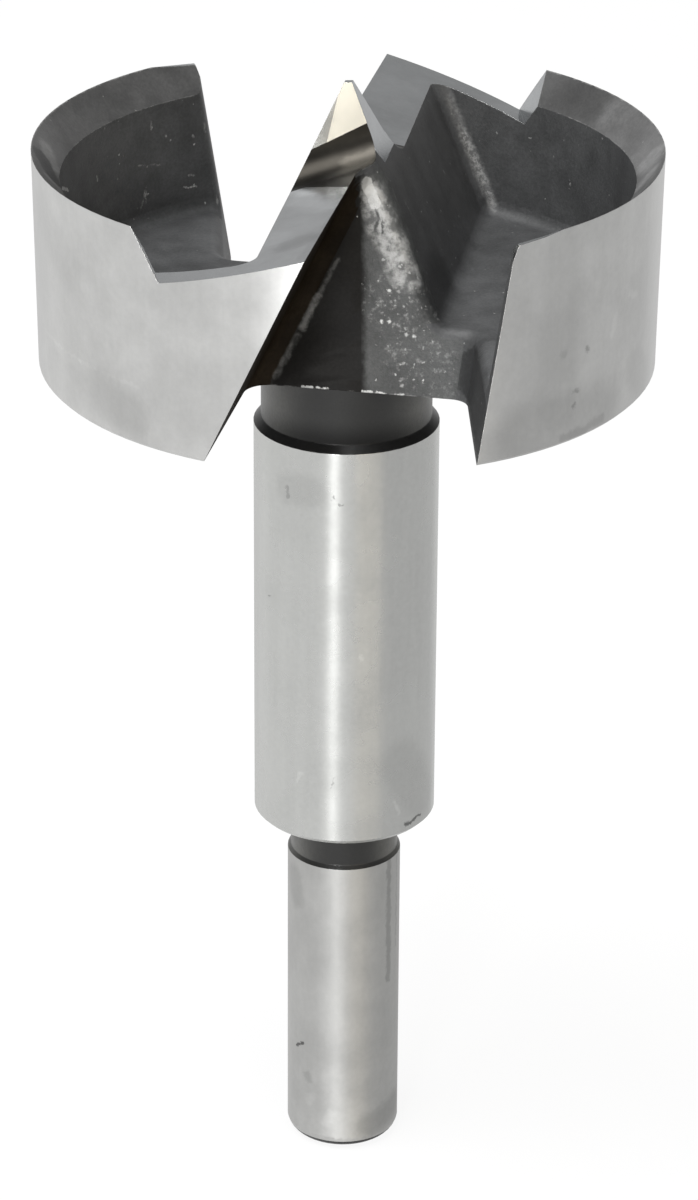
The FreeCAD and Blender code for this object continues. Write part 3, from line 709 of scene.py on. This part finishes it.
def cutter_zone(place, normal, side):
    """The finish of a face of a land, of the point's flank or of what lies round them, or none."""
    radius = math.hypot(place.x, place.y)
    if normal.dot(FLANK_NORMAL) > SAME_WAY and place.z > SLIVER_FOOT:
        return "Flank" if above(place, FLANK_FOOT, FLANK_NORMAL) else "Fillet"
    # The worn facet leans a little more than the flank.
    if normal.dot(FLANK_NORMAL) > 0.96 and place.z > 90.6 and place.x < -0.9:
        return "Facet"
    # The rounding that the wheel left, which is bright only at its tip on the far side.
    offset = place - grind_axis()
    away = (offset - GRIND_RUN * offset.dot(GRIND_RUN)).length
    in_reach = place.x < 2.9 and radius < 8 and place.z > BEVEL_FOOT
    if abs(away - GRIND_RADIUS) < NEAR and normal.z > 0.3 and in_reach:
        tip = side < 0 and place.x < -1.8 and place.z > 89.2
        return "Land" if tip else "Fillet"
    # The land, with a painted dark reflection beside the rounding, and with it the ground end of a rim.
    on_land = normal.dot(LAND_NORMAL) > SAME_WAY
    if on_land and radius < 9 and above(place, LAND_HEAD, LAND_NORMAL):
        return "Fillet"
    rim_end = radius > INNER_R and normal.z > 0.3
    if place.z > 84 and (on_land or rim_end):
        return "Land"
    # The back of the point.
    if place.z > SLIVER_FOOT and radius < 6:
        low, high = SLIVER_EDGE
        edge_y = low[1] + (place.z - low[2]) * (high[1] - low[1]) / (high[2] - low[2])
        return "Oxide" if place.x > 0 and place.y < edge_y else "Land"
    return None


def hub_zone(place, normal):
    """The finish of a face of a hub, a rake face, a pocket or the head's underside."""
    radius = math.hypot(place.x, place.y)
    depth = hub_depth(place)
    # The hub's front, without the first facets of the ridge's rounding.
    if abs(depth) < 0.97 * NEAR and normal.y < -0.9:
        milled_end = MILLED_END + (MILLED_LEVEL - place.z) * MILLED_LEAN
        return "Milled" if place.x < milled_end else "Forged"
    if normal.x * math.cos(RAKE) - normal.z * math.sin(RAKE) > SAME_WAY:
        return "Rake"
    # The rounding at the root of the hub.
    if 0.01 < depth < 2.2 and normal.x > 0.03 and normal.y < -0.03 and radius < HUB_REACH:
        return "Rake" if place.x < 1.5 else "Forged"
    # The rounded ridge and what lies just behind it.
    on_ridge = place.x > 1.5 and radius < HUB_REACH and 0 < -depth < RIDGE_BACK
    if on_ridge and FLOOR + 0.3 < place.z < SLIVER_FOOT:
        return "Forged"
    return "Oxide"


def cut(bm, faces, place, across):
    """Splits some faces along a plane, so that each half can have its own finish."""
    if not faces:
        return
    parts = dict.fromkeys(faces)
    for face in faces:
        parts.update(dict.fromkeys(face.edges))
        parts.update(dict.fromkeys(face.verts))
    middle = Vector(place) * MM
    bmesh.ops.bisect_plane(bm, geom=list(parts), dist=1e-7, plane_co=middle, plane_no=across)


def spans(face, axis, value):
    """Whether a face reaches over a value of one coordinate."""
    values = [vert.co[axis] for vert in face.verts]
    return min(values) < value - 1e-6 and max(values) > value + 1e-6


def grid(bm, forged, side):
    """Cuts one side's forged faces into a fine grid, so that they can be roughened."""
    # Levels from the underside up, then lines along the hub, then lines across its ridge.
    lines = [(2, UNDERSIDE + step * FORGED_STEP) for step in range(1, 56)]
    lines += [(0, MILLED_END + step * FORGED_STEP) for step in range(1, 34)]
    lines += [(1, -step * FORGED_STEP) for step in range(2, 24)]
    for axis, value in lines:
        value *= MM if axis == 2 else MM * side
        across = [0, 0, 0]
        across[axis] = 1
        place = [part * value / MM for part in across]
        faces = []
        for face in bm.faces:
            here = face.material_index == forged and face.verts[0].co.y * side <= 0
            if here and spans(face, axis, value) and (axis != 1 or abs(face.normal.x) > 0.5):
                faces.append(face)
        cut(bm, faces, place, across)


def is_turned(face):
    """Whether a face lies on a surface of revolution."""
    centre = face.calc_center_median()
    radius = math.hypot(centre.x, centre.y)
    across = math.hypot(face.normal.x, face.normal.y)
    in_point = radius < POINT_R * MM and centre.z > BOSS_TOP * MM
    if radius < 1e-6 or across < 0.3 or in_point:
        return False
    facing = (centre.x * face.normal.x + centre.y * face.normal.y) / (radius * across)
    return abs(facing) > 0.998


def is_plane(face):
    """Whether a face is a plane of its own and not one facet of a rounding, whose edges are soft."""
    area = face.calc_area() / MM ** 2
    if area < SMALL_AREA:
        return False
    length = sum(edge.calc_length() for edge in face.edges)
    soft = [edge for edge in face.edges if math.radians(1.5) < edge.calc_face_angle(0) < SHARP]
    return area > LARGE_AREA or sum(edge.calc_length() for edge in soft) < 0.6 * length


def true_radius(vert):
    """The factor that brings a vertex onto the turned surface that it lies near, or none."""
    radius = math.hypot(vert.co.x, vert.co.y) / MM
    height = vert.co.z / MM
    outside = HEAD_R - HEAD_RELIEF * (RIM - height) / (RIM - UNDERSIDE)
    bevel = INNER_R + (HEAD_R - INNER_R) * (height - BEVEL_FOOT) / (RIM - BEVEL_FOOT)
    for target in TURNED_RADII + (outside, bevel):
        if abs(radius - target) < TURNED_NEAR:
            return target / radius
    return None


def fans(vert):
    """The groups of faces round a vertex that no sharp edge parts."""
    left = list(vert.link_faces)
    while left:
        group = [left.pop(0)]
        for face in group:
            for edge in face.edges:
                if vert in edge.verts and edge.smooth:
                    for other in edge.link_faces:
                        if other in left:
                            left.remove(other)
                            group.append(other)
        yield group


def fillet_normal(vert, side):
    """The normal of the rounding between a flank and its land, from the height above the land."""
    place = turned_to(vert.co, side) / MM
    height = (place - Vector((LEAD, 0, EDGE))).dot(LAND_NORMAL)
    turn = math.acos(max(-1.0, min(1.0, 1.0 - height / GRIND_RADIUS)))
    turn = min(turn, LAND_NORMAL.angle(FLANK_NORMAL))
    toward = (FLANK_NORMAL - LAND_NORMAL * FLANK_NORMAL.dot(LAND_NORMAL)).normalized()
    return turned_to(LAND_NORMAL * math.cos(turn) + toward * math.sin(turn), side)


def pocket_normal(vert, group):
    """The normal of the rounding round a pocket's floor, from a vertex's height above the floor."""
    up = max(0.0, min(1.0, 1.0 - (vert.co.z / MM - FLOOR) / POCKET_ROUND))
    level = Vector((0, 0, 0))
    for face in group:
        level += face.normal * face.calc_area()
    level.z = 0
    return level.normalized() * math.sqrt(1 - up * up) + Vector((0, 0, up))


def true_normal(vert, corner, group, planes, turned):
    """The exact normal of a face's corner on a plane or a turned surface, or none."""
    flat = []
    for face in group:
        if face.index in planes and face.normal.angle(corner.normal) < JOIN:
            flat.append(face)
    if flat:
        return max(flat, key=lambda face: face.calc_area()).normal.copy()
    round_ones = [face for face in group if face.index in turned]
    if not round_ones:
        rounded = pocket_normal(vert, group)
        at_floor = 0 < vert.co.z / MM - FLOOR < POCKET_ROUND
        inside = math.hypot(vert.co.x, vert.co.y) / MM < INNER_R
        fits = at_floor and inside and rounded.dot(corner.normal) > 0.8
        return rounded if fits else Vector((0, 0, 0))
    face = max(round_ones, key=lambda face: face.calc_area())
    out = Vector((vert.co.x, vert.co.y, 0)).normalized()
    across = math.hypot(face.normal.x, face.normal.y)
    if out.dot(face.normal) < 0:
        across = -across
    return Vector((out.x * across, out.y * across, face.normal.z))


def forge(bm, forged):
    """Rounds and roughens the forged hill, except along its borders."""
    free = []
    for vert in bm.verts:
        kinds = {face.material_index for face in vert.link_faces}
        if kinds == {forged} and all(edge.smooth for edge in vert.link_edges):
            free.append(vert)
    every_way = {"use_axis_x": True, "use_axis_y": True, "use_axis_z": True}
    for _ in range(FORGED_ROUNDS):
        bmesh.ops.smooth_vert(bm, verts=free, factor=0.5, **every_way)
    bm.normal_update()
    for vert in free:
        place = vert.co / MM
        coarse = noise.fractal(place * 0.55, 1.0, 2.0, 3)
        fine = noise.fractal(place * 1.7, 1.0, 2.0, 2)
        vert.co += vert.normal * ((coarse + 0.5 * fine) * FORGED_LUMPS * MM)


def wear_point(bm, side):
    """Grinds the long facet that blunts the outer edge of the point's flank."""
    facing = turned_to(FLANK_NORMAL, side)
    flanks = [face for face in bm.faces if face.normal.dot(facing) > SAME_WAY]
    flank = max(flanks, key=lambda face: face.calc_area())
    lowest = min(flank.verts, key=lambda vert: vert.co.z)
    sides = [edge for edge in flank.edges if lowest in edge.verts]
    long_side = max(sides, key=lambda edge: edge.other_vert(lowest).co.z)
    foot = min(sides, key=lambda edge: edge.other_vert(lowest).co.z)
    facet_length, facet_width, ground_off = 0.82, 0.28, 0.15 * MM
    top = bmesh.utils.edge_split(long_side, lowest, facet_length)[1]
    end = bmesh.utils.edge_split(foot, lowest, facet_width)[1]
    bmesh.utils.face_split(flank, top, end)
    lowest.co.y += side * ground_off


# The leading end of a rim: the angles it lies between, and the angle that it is brought nearer to,
# which changes with the radius.
RIM_END = (-49.4, -45.8)
RIM_END_ANGLE = -47.82
RIM_END_RADIUS = 24.03
RIM_END_SLOPE = 1.537
RIM_END_SHARE = 0.6


def blunt_rim_end(bm, side):
    """Tightens the blunt corner at the leading end of a rim, by turning it about the axis."""
    first, last = RIM_END
    for vert in bm.verts:
        x, y, z = turned_to(vert.co, side) / MM
        radius = math.hypot(x, y)
        angle = math.degrees(math.atan2(y, x))
        if radius < 23.9 or z < 87.85 or not first < angle < last:
            continue
        ends = [face for face in vert.link_faces if face.normal.z > 0.6]
        if not any(abs(face.normal.z - 0.67) > 0.012 for face in ends):
            continue
        goal = RIM_END_ANGLE - (radius - RIM_END_RADIUS) * RIM_END_SLOPE
        turn = Matrix.Rotation(math.radians((goal - angle) * RIM_END_SHARE), 3, "Z")
        vert.co = turn @ vert.co


def backs(bm, side):
    """The faces that look away from one side's cutter, across the valley behind its hub."""
    return [face for face in bm.faces if face.normal.x * side > 0.9]


def large_backs(bm, side):
    """The large ones of them."""
    return [face for face in backs(bm, side) if face.calc_area() > BACK_AREA * MM ** 2]


def seams(bm, side):
    """Cuts one side's faces along the borders between two finishes."""
    fronts = []
    for face in bm.faces:
        depth = hub_depth(turned_to(face.calc_center_median() / MM, side))
        if face.normal.y * side < -0.9 and abs(depth) < NEAR:
            fronts.append(face)
    cut(bm, fronts, (side * MILLED_END, 0, MILLED_LEVEL), (side, 0, MILLED_LEAN))
    cut(bm, large_backs(bm, side), (0, 0, SLIVER_FOOT), (0, 0, 1))
    ridge_end = (0, side * (RIDGE_BACK - HUB_HALF), EDGE)
    cut(bm, large_backs(bm, side), ridge_end, (0, -side, HUB_SLOPE))
    tops = [face for face in backs(bm, side) if face.calc_center_median().z > EDGE * MM]
    low, high = (turned_to(corner, side) for corner in SLIVER_EDGE)
    cut(bm, tops, low, (high - low).cross(turned_to(BACK_NORMAL, side)))
    for line, normal in ((FLANK_FOOT, FLANK_NORMAL), (LAND_HEAD, LAND_NORMAL)):
        facing = turned_to(normal, side)
        faces = [face for face in bm.faces if face.normal.dot(facing) > SAME_WAY]
        start, across = border(line, normal)
        cut(bm, faces, turned_to(start, side), turned_to(across, side))


def sort_faces(bm, names):
    """Gives every face its finish, and notes in a layer what kind of surface it is part of."""
    kinds = bm.faces.layers.int.new("kind")
    for face in bm.faces:
        face.smooth = True
        face.material_index = names.index(zone(face.calc_center_median() / MM, face.normal))
        if is_turned(face):
            face[kinds] = TURNED
        elif is_plane(face):
            face[kinds] = PLANE
    for face in bm.faces:
        if face[kinds] != ROUNDED:
            continue
        beside = {other for edge in face.edges for other in edge.link_faces}
        planes = [other for other in beside if other[kinds] == PLANE]
        if any(other.normal.dot(face.normal) > 0.99995 for other in planes):
            face[kinds] = PLANE
    return kinds


def mark_sharp(bm):
    """Parts the shading at every sharp edge."""
    for edge in bm.edges:
        edge.smooth = len(edge.link_faces) == 2 and edge.calc_face_angle(0) < SHARP


def true_up(bm, kinds):
    """Brings the vertices of turned surfaces onto their exact radius."""
    for vert in bm.verts:
        if any(face[kinds] == TURNED for face in vert.link_faces):
            factor = true_radius(vert)
            if factor:
                vert.co.x *= factor
                vert.co.y *= factor


def mark_outer(bm):
    """Notes the vertices of the sharp outer edges in a layer that the finishes read."""
    outer = bm.verts.layers.float.new("outer_edge")
    for edge in bm.edges:
        if len(edge.link_faces) == 2 and edge.calc_face_angle_signed(0) > SHARP:
            for vert in edge.verts:
                vert[outer] = 1.0


def corner_normals(bm, names, kinds):
    """The exact normal of each face's corners, or none where Blender's own will do."""
    bm.verts.index_update()
    bm.faces.index_update()
    forged, fillet = names.index("Forged"), names.index("Fillet")
    soft = {face.index for face in bm.faces if face.material_index == forged}
    planes = {face.index for face in bm.faces if face[kinds] == PLANE} - soft
    turned = {face.index for face in bm.faces if face[kinds] == TURNED} - soft
    normals = {}
    for vert in bm.verts:
        for group in fans(vert):
            for face in group:
                if face.index in soft:
                    own = Vector((0, 0, 0))
                elif face.index in planes:
                    own = face.normal.copy()
                elif face.material_index == fillet:
                    own = fillet_normal(vert, 1 if face.calc_center_median().y < 0 else -1)
                else:
                    own = true_normal(vert, face, group, planes, turned)
                normals[(face.index, vert.index)] = own
    return normals


def body(names):
    """The whole bit, from a copy of the frame's mesh, each surface with its own finish."""
    bm = bmesh.new()
    bm.from_mesh(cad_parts["forstner_bit"].data)
    bmesh.ops.remove_doubles(bm, verts=bm.verts, dist=1e-6)
    inner = []
    for edge in bm.edges:
        if not any(is_turned(face) for face in edge.link_faces):
            inner.append(edge)
    bmesh.ops.dissolve_limit(bm, angle_limit=0.008, verts=[], edges=inner)
    for side in (1, -1):
        seams(bm, side)
        wear_point(bm, side)
        blunt_rim_end(bm, side)
    bm.normal_update()
    kinds = sort_faces(bm, names)
    for side in (1, -1):
        grid(bm, names.index("Forged"), side)
    bm.normal_update()
    mark_sharp(bm)
    true_up(bm, kinds)
    mark_outer(bm)
    forge(bm, names.index("Forged"))
    bm.normal_update()
    exact = corner_normals(bm, names, kinds)
    mesh = bpy.data.meshes.new("BitBody")
    bm.to_mesh(mesh)
    bm.free()
    normals = []
    for polygon in mesh.polygons:
        for corner in polygon.loop_indices:
            normals.append(exact[(polygon.index, mesh.loops[corner].vertex_index)])
    mesh.normals_split_custom_set(normals)
    return mesh


def bit():
    """The dressed bit in place of the frame's node."""
    made = finishes()
    names = list(made)
    mesh = body(names)
    for name in names:
        mesh.materials.append(made[name])
    piece = bpy.data.objects.new("BitBody", mesh)
    bpy.context.scene.collection.objects.link(piece)
    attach(piece, "root")
    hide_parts("forstner_bit")


def floor():
    """A large pale floor that metal sees darker on its right and behind than elsewhere."""
    mesh = bpy.data.meshes.new("Floor")
    bm = bmesh.new()
    far = 12
    bmesh.ops.create_circle(bm, cap_ends=True, radius=far, segments=64)
    bm.to_mesh(mesh)
    bm.free()
    plane = bpy.data.objects.new("Floor", mesh)
    bpy.context.scene.collection.objects.link(plane)
    made = bpy.data.materials.new("FloorPale")
    made.use_nodes = True
    graph = Nodes(made.node_tree)
    diffuse = graph.add("ShaderNodeBsdfDiffuse", Color=(0.88, 0.88, 0.88))
    path = graph.add("ShaderNodeLightPath").outputs
    glossy = path["Is Glossy Ray"]
    x, y, _ = graph.split(graph.millimetres())[:3]
    squares = graph.math("ADD", graph.times(x, x), graph.times(y, y))
    away = graph.math("ADD", graph.math("SQRT", squares), 1.0)
    right = graph.ramp(graph.math("DIVIDE", x, away), 0.15, 0.6, 0.09, 0.34)
    behind = graph.ramp(graph.math("DIVIDE", y, away), 0.2, 0.9, 0.0, 0.24)
    dimmed = graph.most(right, behind)
    strength = graph.math("SUBTRACT", 1.0, graph.times(glossy, dimmed))
    white = graph.add("ShaderNodeEmission", Color=(1, 1, 1), Strength=strength)
    seen = graph.most(glossy, graph.times(path["Is Camera Ray"], 0.9))
    mixed = graph.add("ShaderNodeMixShader")
    graph.feed(mixed, 0, seen)
    graph.feed(mixed, 1, diffuse.outputs[0])
    graph.feed(mixed, 2, white.outputs[0])
    out = graph.add("ShaderNodeOutputMaterial")
    graph.tree.links.new(mixed.outputs[0], out.inputs[0])
    mesh.materials.append(made)


def studio():
    """A pale room below, darker above, with a key lamp in front and a warm panel to its right."""
    world = bpy.data.worlds.new("Studio")
    bpy.context.scene.world = world
    world.use_nodes = True
    graph = Nodes(world.node_tree)
    path = graph.add("ShaderNodeLightPath").outputs
    x, y, z = graph.split(graph.add("ShaderNodeTexCoord").outputs["Generated"])[:3]
    right = graph.ramp(x, 0.1, 0.6, 0.80, 0.40)
    behind = graph.ramp(y, 0.2, 0.9, 1.0, 0.76)
    upper_level = 0.36
    level = graph.add("ShaderNodeMix", {"data_type": "FLOAT"})
    graph.feed(level, 0, graph.ramp(z, 0.26, 0.44))
    graph.feed(level, 2, graph.times(right, behind))
    graph.feed(level, 3, upper_level)
    strength = graph.most(level.outputs[0], path["Is Camera Ray"])
    background = graph.add("ShaderNodeBackground", Color=(1, 1, 1), Strength=strength)
    out = graph.add("ShaderNodeOutputWorld")
    graph.tree.links.new(background.outputs[0], out.inputs[0])

    # Each lamp's name, its place and size in metres, its power in watts and its colour.
    lamps = (
        ("Key", (-0.05, -0.93, 0.36), (0.16, 0.50), 5.0, (1.0, 1.0, 1.0)),
        ("Warm", (0.52, -0.66, 0.29), (0.50, 0.48), 1.8, (1.0, 0.89, 0.70)),
        ("Top", (-0.18, -0.18, 0.85), (0.50, 0.50), 8.5, (1.0, 1.0, 1.0)),
    )
    for name, place, size, power, colour in lamps:
        data = bpy.data.lights.new(name, "AREA")
        data.shape = "RECTANGLE"
        data.size, data.size_y = size
        data.energy = power
        data.color = colour
        lamp = bpy.data.objects.new(name, data)
        lamp.location = place
        aim = Vector((0, 0, 60 * MM)) - Vector(place)
        lamp.rotation_euler = aim.to_track_quat("-Z", "Y").to_euler()
        bpy.context.scene.collection.objects.link(lamp)


camera()
floor()
studio()
bit()

bpy.context.scene.view_settings.view_transform = "Standard"
